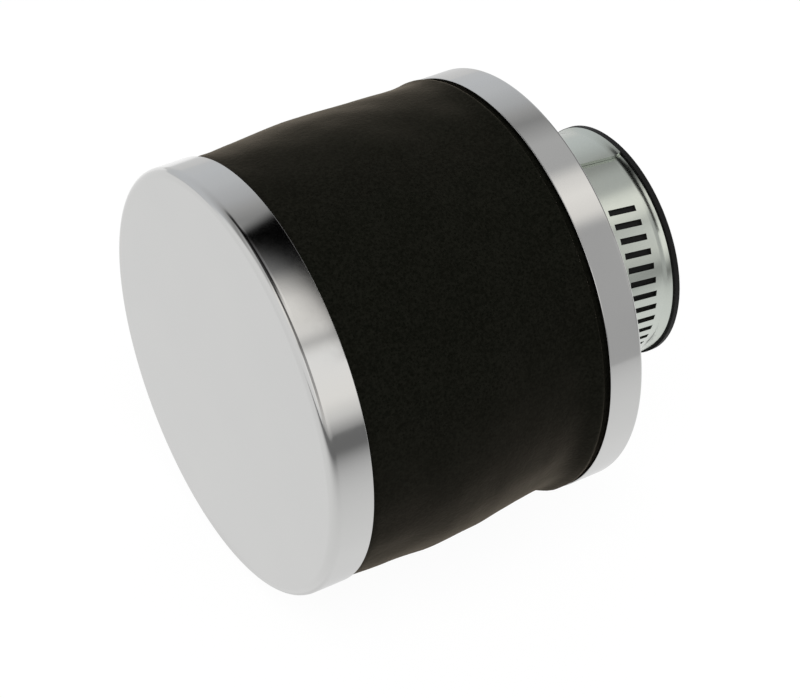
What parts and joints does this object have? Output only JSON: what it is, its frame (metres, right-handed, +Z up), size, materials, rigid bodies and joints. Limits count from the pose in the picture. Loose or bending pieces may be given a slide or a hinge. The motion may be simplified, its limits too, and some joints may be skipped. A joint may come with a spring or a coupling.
{
  "type": "foam air filter",
  "caption": "Clamp-on foam air filter: a foam sleeve between two bright metal end caps, with a rubber neck and a worm-drive band clamp that grips an intake pipe.",
  "frame": {"origin": "centre of the neck's mouth, on the filter's axis", "axes": "+X along the filter's axis, out of the neck's mouth; +Z up as the filter lies, with the clamp's screw at the bottom; the screw runs along Y"},
  "size_m": [0.0949, 0.0914, 0.0914],
  "materials": {
    "cap_metal": "bright plated, slightly satin face",
    "resin": "cast resin",
    "core_metal": "expanded metal, zinc plated",
    "foam": "open-cell foam",
    "neck_rubber": "moulded rubber",
    "clamp_zinc": "zinc plated strip",
    "screw_zinc": "zinc plated"
  },
  "bodies": {
    "filter": {"front_cap": "cap_metal", "front_potting": "resin", "core_tube": "core_metal", "foam_sleeve": "foam", "rear_potting": "resin", "rear_cap": "cap_metal", "neck_sleeve": "neck_rubber", "clamp_band": "clamp_zinc", "clamp_housing": "clamp_zinc"},
    "screw": {"clamp_screw": "screw_zinc"}
  },
  "joints": [
    {"name": "clamp_screw_turn", "type": "hinge", "parent": "filter", "child": "screw", "pos_m": [-0.00815, 0, -0.02945], "axis": [0, -1, 0], "continuous": true}
  ]
}
